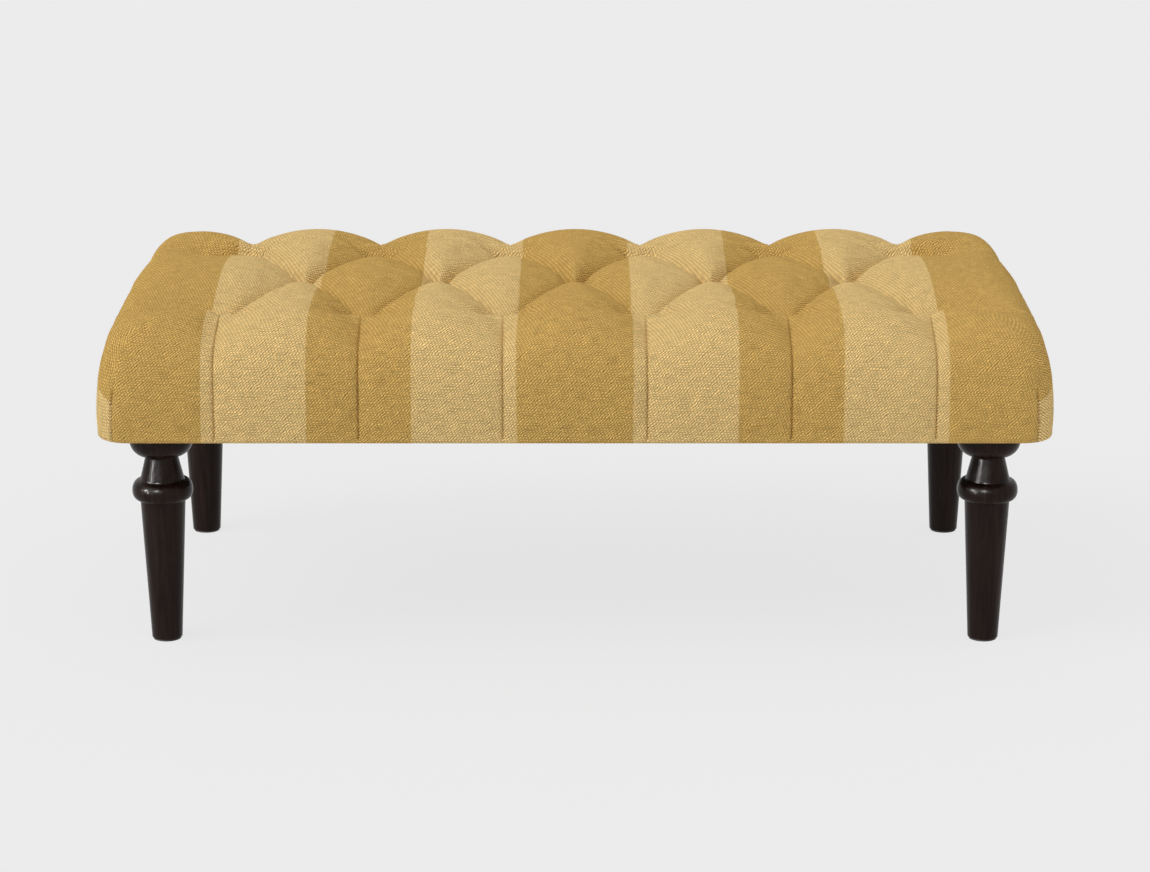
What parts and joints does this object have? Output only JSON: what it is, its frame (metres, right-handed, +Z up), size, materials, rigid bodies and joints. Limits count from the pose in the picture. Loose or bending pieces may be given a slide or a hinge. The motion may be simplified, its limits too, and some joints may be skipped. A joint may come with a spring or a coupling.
{
  "type": "tufted footstool",
  "caption": "Long rectangular footstool with a thick diamond-tufted padded seat in striped cloth on turned dark wooden legs.",
  "frame": {"origin": "on the floor, under the middle of the seat", "axes": "+X along the seat's length to the right, -Y to the front, +Z up"},
  "size_m": [1.22, 0.664, 0.443],
  "materials": {
    "striped_cloth": "matte",
    "seat_foam": "matte",
    "batting": "matte",
    "plywood": "matte",
    "frame_wood": "matte",
    "leg_wood": "satin",
    "glide_plastic": "matte",
    "dust_cloth": "matte",
    "tuft_cloth": "matte",
    "twine": "matte",
    "zinc_steel": "satin"
  },
  "bodies": {
    "root": {"seat_cover": "striped_cloth", "seat_foam": "seat_foam", "batting_wrap": "batting", "deck_panel": "plywood", "dust_cover": "dust_cloth", "tuft_discs": "tuft_cloth", "tuft_twines": "twine", "tuft_washers": "zinc_steel", "hanger_bolts": "zinc_steel", "tee_nuts": "zinc_steel", "rail_joint_screws": "zinc_steel", "cross_brace_screws": "zinc_steel", "corner_block_screws": "zinc_steel", "deck_screws": "zinc_steel", "cover_staples": "zinc_steel", "dust_cover_staples": "zinc_steel", "front_rail": "frame_wood", "back_rail": "frame_wood", "left_end_rail": "frame_wood", "right_end_rail": "frame_wood", "left_cross_brace": "frame_wood", "right_cross_brace": "frame_wood", "corner_block_front_left": "frame_wood", "leg_front_left": "leg_wood", "glide_front_left": "glide_plastic", "corner_block_front_right": "frame_wood", "leg_front_right": "leg_wood", "glide_front_right": "glide_plastic", "corner_block_back_left": "frame_wood", "leg_back_left": "leg_wood", "glide_back_left": "glide_plastic", "corner_block_back_right": "frame_wood", "leg_back_right": "leg_wood", "glide_back_right": "glide_plastic"}
  },
  "joints": []
}
